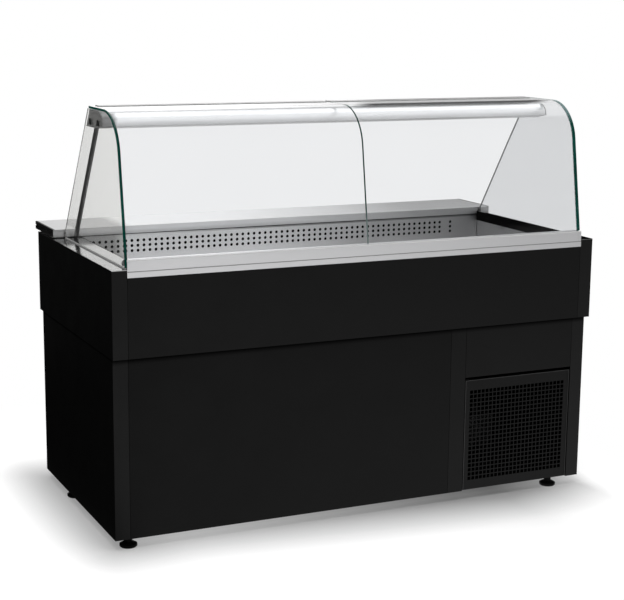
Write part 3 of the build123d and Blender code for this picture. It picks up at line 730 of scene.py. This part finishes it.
# Grey bead that closes the ledge of the front rail; its grey, darker than the steel, paints the shadow line
# under the rail's face
bead = bmesh.new()
bar(
    bead, (-rail_end, rail_face - bead_thickness, rail_ledge),
    (rail_end, rail_face, rail_ledge + bead_height),
)
round_edges(bead, 0.0004, 2, longer_than=1.0)
finished_piece("rail_shadow_bead", bead, "cabinet", shadow_line_grey)

# Folded hems at the two ends of the rail
hems = bmesh.new()
for side in (-1, 1):
    low = (rail_face - hem_thickness, hem_foot)
    end_bar(hems, side, (rail_end, rail_end - hem_width), low, (rail_face, hem_top))
round_edges(hems, 0.0003, 2)
finished_piece("rail_hems", hems, "cabinet", steel_x)

# Plates that close the notched ends of the rail
rail_plates = bmesh.new()
for side in (-1, 1):
    outline = [(side * plate_face, y, z) for y, z in plate_outline]
    thicken(rail_plates, outline, (-side * plate_thickness, 0.0, 0.0))
round_edges(rail_plates, 0.0002, 1)
finished_piece("rail_end_plates", rail_plates, "cabinet", steel_x)

# Clamp pads outside the side panes, pointed at the top
pads = bmesh.new()
for side in (-1, 1):
    for middle in clamp_middles:
        outline = (
            (side * pane_end, middle - clamp_half_foot, clamp_foot),
            (side * pane_end, middle + clamp_half_foot, clamp_foot),
            (side * pane_end, middle + clamp_half_tip, clamp_tip),
            (side * pane_end, middle - clamp_half_tip, clamp_tip),
        )
        thicken(pads, outline, (side * clamp_thickness, 0.0, 0.0))
round_edges(pads, 0.0008, 2)
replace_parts(finished_piece("clamp_pads", pads, "cabinet", black_plastic), "glass_clamps")

# Gasket that stands up inside the foot of the right pane
gasket = bmesh.new()
gasket_face = pane_low.x - 2 * hair
bar(
    gasket,
    (gasket_face - gasket_width, gasket_front, rim_height + hair),
    (gasket_face, gasket_back, rim_height + gasket_height),
)
round_edges(gasket, 0.0012, 3, longer_than=0.3)
finished_piece("right_pane_gasket", gasket, "cabinet", seal_rubber)

# Studs that hold the rear feet of the side panes to the worktop
studs = bmesh.new()
pane_middle = (pane_low.x + pane_high.x) / 2
for side in (-1, 1):
    rings = []
    for out, radius in stud_steps:
        level = Matrix.Translation((side * pane_middle, out, stud_height)) @ facing_rear
        rings.append(ring(studs, stud_sides, radius, level))
    loft(studs, rings)
finished_piece("pane_studs", studs, "cabinet", dark_aluminium)

# Steel corners on the front ends of the worktop caps
corners = bmesh.new()
for side in (-1, 1):
    end_bar(
        corners, side, (worktop_high.x - 2 * hair, cap_high.x - 2 * hair),
        (worktop_low.y - corner_rise, cap_low.z + corner_inset),
        (worktop_low.y + 2 * hair, cap_high.z - corner_inset),
    )
round_edges(corners, 0.0003, 1)
finished_piece("worktop_corners", corners, "cabinet", worktop_steel)

# Flange of each hinge leaf, lying on the pane's flat top
for side, word in ((-1, "left"), (1, "right")):
    flange = bmesh.new()
    end_bar(
        flange, side, (leaf_low.x, leaf_high.x),
        (flange_front, flange_foot), (leaf_low.y - hair, flange_foot + flange_thickness),
    )
    round_edges(flange, 0.0005, 2, longer_than=0.5)
    finished_piece("hinge_flange_" + word, flange, "front_glass_" + word, flange_grey)

# Folded top of the air panel, up to just below the worktop
fold = bmesh.new()
bar(fold, (panel_low.x, fold_front, fold_foot), (panel_high.x, fold_back, fold_top))
round_edges(fold, 0.0004, 2, longer_than=1.0)
finished_piece("air_panel_fold", fold, "cabinet", air_steel)

# Raised edge round the grille sheet: one bar along the top and one down each side, in a lighter, glossier
# black that paints its highlight
rim = bmesh.new()
rim_foot = grille_low.z + 0.0005
rim_inner_top = grille_high.z - grille_rim_width
for left, foot, right, top in (
    (grille_low.x, rim_inner_top, grille_high.x, grille_high.z),
    (grille_low.x, rim_foot, grille_low.x + grille_rim_width, rim_inner_top - hair),
    (grille_high.x - grille_rim_width, rim_foot, grille_high.x, rim_inner_top - hair),
):
    bar(rim, (left, grille_low.y - grille_rim_rise, foot), (right, grille_low.y - hair, top))
round_edges(rim, 0.0008, 2, longer_than=0.1)
finished_piece("grille_rim", rim, "cabinet", highlight_edge)

# Pressed hoods over the louvre slots of the machine bay
hoods = bmesh.new()
bends = [math.radians(degrees) for degrees in range(0, 91, 18)]
outer_bow = [(hood_reach * math.sin(bend), hood_rise * math.cos(bend)) for bend in bends]
inner_bow = [(hood_inner_reach * out, hood_inner_rise * up) for out, up in reversed(outer_bow)]
for column in louvre_columns:
    for row in range(louvre_rows):
        foot = louvre_middle + (row - (louvre_rows - 1) / 2) * louvre_pitch - hood_drop
        left = column - louvre_length / 2
        outline = [(left, bay_back + hair + out, foot + up) for out, up in outer_bow + inner_bow]
        thicken(hoods, outline, (louvre_length, 0.0, 0.0))
finished_piece("louvre_hoods", hoods, "cabinet", powder_coat)


# Screws with a six-sided socket, heads toward the rear
def socket_screws(name, places, radius):
    screws = bmesh.new()
    for place in places:
        rings = []
        for share, rise, sides in screw_steps:
            level = Matrix.Translation(place) @ facing_rear @ Matrix.Translation((0.0, 0.0, rise * radius))
            rings.append(ring(screws, sides, share * radius, level))
        loft(screws, rings)
    finished_piece(name, screws, "cabinet", zinc_screw)


socket_screws("bay_panel_screws", bay_screws, bay_screw_radius)
socket_screws("control_panel_screws", control_screws, control_screw_radius)

# Scale round the thermostat, every fifth mark longer
scale_marks = bmesh.new()
for step in range(scale_marks_count):
    length = scale_mark_long if step % 5 == 0 else scale_mark_short
    made = bar(
        scale_marks, (-scale_mark_half, panel_face, scale_radius),
        (scale_mark_half, panel_face + mark_thickness, scale_radius + length),
    )
    turn = Matrix.Rotation(math.radians(scale_step * step), 4, (0, -1, 0))
    bmesh.ops.transform(scale_marks, matrix=turn, verts=made)
    bmesh.ops.translate(scale_marks, verts=made, vec=(knob_middle.x, 0.0, knob_middle.z))
finished_piece("thermostat_scale", scale_marks, "cabinet", black_plastic)

# Bright line on the knob
knob_line = bmesh.new()
bar(
    knob_line, (knob_middle.x - knob_line_half, knob_high.y, knob_middle.z + knob_line_start),
    (knob_middle.x + knob_line_half, knob_high.y + 2 * hair, knob_middle.z + knob_line_end),
)
round_edges(knob_line, 0.00005, 1)
finished_piece("knob_line", knob_line, "thermostat_knob", satin_aluminium)

# On and off marks above and below the two rockers: a stroke and a ring
switch_marks = bmesh.new()
mark_face = panel_face + mark_thickness
for x in switch_middles:
    bar(switch_marks, (x - stroke_half, panel_face, stroke_foot), (x + stroke_half, mark_face, stroke_top))
    rings = []
    for radius, face in (
        (off_ring_outer, panel_face), (off_ring_outer, mark_face),
        (off_ring_inner, mark_face), (off_ring_inner, panel_face),
    ):
        level = Matrix.Translation((x, face, off_ring_height)) @ facing_rear
        rings.append(ring(switch_marks, off_ring_sides, radius, level))
    for first_ring, second_ring in zip(rings, rings[1:] + rings[:1]):
        bmesh.ops.bridge_loops(switch_marks, edges=first_ring + second_ring)
finished_piece("switch_marks", switch_marks, "cabinet", black_plastic)


def reflected_rays(finish):
    """One for rays that have met a mirror and nothing dull."""
    return (finish.ray("Glossy Depth") > 0.5) * (1.0 - (finish.ray("Diffuse Depth") > 0.5))


def faces_crossed(finish):
    """Number of glass faces on the way: 0 or 2 for the panes nearest the eye, 4 for the canopy behind."""
    return finish.ray("Transmission Depth")


# White room: seen white by the camera, in metal and through glass, soft for everything else
room = Finish(bpy.data.worlds.new("white_room"))
scene.world = room.owner
soft_room = room.add("Background", values={"Color": grey(1.0), "Strength": 0.5})
white_room = room.add("Background", values={"Color": grey(1.0), "Strength": 1.0})
seen_rays = room.ray("Is Camera Ray") | room.ray("Is Glossy Ray") | room.ray("Is Transmission Ray")
room.close(room.mixed(seen_rays, soft_room, white_room), "World")


def card(name, low, high, material):
    """Adds a flat sheet of the stage between two opposite corners that share one coordinate."""
    first, second = [axis for axis in range(3) if low[axis] != high[axis]]
    corners = [list(low) for _ in range(4)]
    corners[1][first] = high[first]
    corners[2] = high
    corners[3][second] = high[second]
    mesh = bmesh.new()
    mesh.faces.new([mesh.verts.new(corner) for corner in corners])
    sheet = linked_object(name, mesh, material)
    return sheet


# Floor: white, with the table's shadow close to the base, cast by the lamps and partly painted as emission
# set by place
def pale_floor():
    finish = new_finish("pale_floor")
    across = finish.place("X")
    along = finish.place("Y")
    past_ends = ((across - base_half) | 0.0) * 3.0 + ((-base_half - across) | 0.0) * 1.5
    reach = abs(along - base_middle) - base_depth / 2
    past_sides = reach | 0.0
    square = past_ends * past_ends + past_sides * past_sides
    apart = finish.add("Math", {"operation": "SQRT"}, {0: square})
    inside_ends = finish.range(across, -0.81, -0.72) * finish.range(across, 0.78, 0.82, 1.0, 0.0)
    below = finish.range(reach, -0.045, 0.008, 0.18, 0.0) * inside_ends
    beside = finish.range(across, -0.85, -0.60) * finish.range(across, 0.50, 0.78, 1.0, 0.0)
    close_by = finish.range(apart, 0.26, 0.50, 1.0, 0.0)
    lean = finish.range(across, -0.52, 0.52, 0.12, -0.20) * close_by * beside
    past_right = finish.range(across, 0.66, 0.86, 0.0, 0.12) * finish.range(apart, 0.12, 0.26, 1.0, 0.0)
    # Painted shadow near the base: emission set by distance from the base and by place along X
    glow = (finish.range(apart, 0.0, 0.26, 0.12, 0.72) + below + lean + past_right) | 0.0
    lift = finish.add("Emission", values={"Strength": glow})
    shaded = finish.add("BsdfDiffuse", values={"Color": grey(0.55)})
    near = finish.add("AddShader", values={0: shaded, 1: lift})
    white = finish.add("Emission", values={"Strength": 1.0})
    shown = finish.mixed(finish.range(apart, 0.3, 0.9), near, white)
    left_fall = finish.range(across, -0.82, -0.66, 0.02, 1.0)
    right_fall = finish.range(across, 0.8, 4.0, -0.20, 0.60)
    behind = finish.range(along, 1.9, 2.6)
    level = left_fall * (1.0 - right_fall) * (1.0 - behind) + behind * 0.12
    mirrored = finish.add("Emission", values={"Strength": level})
    bounced = finish.add("BsdfDiffuse", values={"Color": grey(0.6)})
    to_eye = finish.mixed(finish.ray("Is Camera Ray") | finish.ray("Is Transmission Ray"), bounced, shown)
    return finish.close(finish.mixed(reflected_rays(finish), to_eye, mirrored))


card("floor", (-30, -30, 0), (30, 30, 0), pale_floor())


# Cards that only reflections meet, each with its level and how much of it shows
def mirror_card(name, low, high, level_of, strength_of):
    finish = new_finish(name)
    tone = finish.add("Emission", values={"Color": grey(1.0), "Strength": level_of(finish)})
    gone = finish.add("BsdfTransparent")
    finish.close(finish.mixed(strength_of(finish) * reflected_rays(finish), gone, tone))
    sheet = card(name, low, high, finish.owner)
    sheet.visible_camera = False
    sheet.visible_diffuse = False
    sheet.visible_shadow = False
    sheet.visible_volume_scatter = False


def within(finish, axis, low, high, fade):
    """One inside low to high along an axis, falling to nothing over the fade at both ends."""
    along = finish.place(axis)
    return finish.range(along, low, low + fade) * finish.range(along, high - fade, high, 1.0, 0.0)


def canopy_shade(finish):
    """Grey at the foot of the card behind the canopy, then nearly black, then grey again."""
    height = finish.place("Z")
    return finish.range(height, 1.266, 1.305, 0.7, 0.12) + finish.range(height, 1.42, 1.6, 0.0, 0.6)


def camera_side_strength(finish):
    """Full above eye height, lower down for the inner faces of the front panes, none for the canopy."""
    height = finish.place("Z")
    crossed = faces_crossed(finish)
    inner_faces = finish.range(height, 1.35, 1.50) * (crossed > 0.5)
    return (finish.range(height, 1.6, 1.85) | inner_faces) * (crossed < 2.5)


mirror_card(
    "left_card", (-1.4, -0.5, 0.0), (-1.4, 4.6, 2.4),
    lambda finish: finish.range(finish.place("Z"), 0.45, 0.7, 0.02, 0.06),
    lambda finish: finish.range(finish.place("Z"), 1.6, 2.4, 1.0, 0.0),
)
mirror_card(
    "back_right_card", (0.9, 3.0, 0.85), (6.0, 3.0, 1.9),
    lambda finish: 0.12,
    lambda finish: finish.range(finish.place("X"), 0.9, 2.1) * (faces_crossed(finish) > 0.5),
)
mirror_card(
    "canopy_card", (0.1, 0.02, 1.258), (1.3, 0.02, 1.62),
    canopy_shade,
    lambda finish: within(finish, "X", 0.16, 0.93, 0.07),
)
mirror_card(
    "back_left_card", (-0.4, 3.1, 1.0), (1.9, 3.1, 4.5),
    lambda finish: 1.5,
    lambda finish: finish.range(finish.place("X"), 1.0, 1.9, 1.0, 0.0),
)
mirror_card(
    "camera_side_card", (-6.0, -7.0, 1.2), (14.0, -7.0, 7.0),
    lambda finish: 0.03,
    camera_side_strength,
)
mirror_card(
    "camera_top_card", (-6.0, -7.0, 7.0), (14.0, -1.0, 7.0),
    lambda finish: 0.03,
    lambda finish: finish.range(finish.place("Y"), -1.4, -1.0, 1.0, 0.0) * (faces_crossed(finish) < 2.5),
)
mirror_card(
    "front_sky_card", (-6.0, -7.1, 4.0), (14.0, -7.1, 17.0),
    lambda finish: 0.68 + 0.64 * (faces_crossed(finish) > 2.5),
    lambda finish: within(finish, "Z", 4.0, 17.0, 2.5),
)
mirror_card(
    "overhead_card", (-4.0, -1.1, 4.2), (4.5, 2.0, 4.2),
    lambda finish: 1.2 + 0.87 * (faces_crossed(finish) > 2.5),
    lambda finish: within(finish, "X", -4.0, 4.5, 0.8) * within(finish, "Y", -1.1, 2.0, 0.6),
)


# Lamps: broad and soft, and not themselves seen in metal or glass
def soft_lamp(name, place, aim, width, height, power):
    lamp = bpy.data.lights.new(name, "AREA")
    lamp.shape = "RECTANGLE"
    lamp.size = width
    lamp.size_y = height
    lamp.energy = power
    holder = bpy.data.objects.new(name, lamp)
    scene.collection.objects.link(holder)
    holder.location = place
    holder.rotation_mode = "QUATERNION"
    holder.rotation_quaternion = (Vector(aim) - Vector(place)).to_track_quat("-Z", "Y")
    holder.visible_glossy = False
    holder.visible_transmission = False


soft_lamp(
    "overhead_lamp", place=(-0.3, -0.6, 4.2), aim=(0.0, -0.2, 0.4), width=4.0, height=3.0, power=75.0,
)
soft_lamp(
    "front_lamp", place=(-2.6, -4.2, 3.2), aim=(0.0, 0.0, 0.6), width=2.4, height=2.4, power=45.0,
)

# Camera
lens = bpy.data.cameras.new("camera")
lens.lens = camera_lens
lens.sensor_width = camera_sensor
camera = bpy.data.objects.new("camera", lens)
scene.collection.objects.link(camera)
aim = Matrix.Rotation(-camera_yaw, 4, "Z") @ Matrix.Rotation(math.pi / 2 - camera_pitch, 4, "X")
camera.matrix_world = Matrix.Translation(camera_place) @ aim @ Matrix.Rotation(camera_roll, 4, "Z")
scene.camera = camera
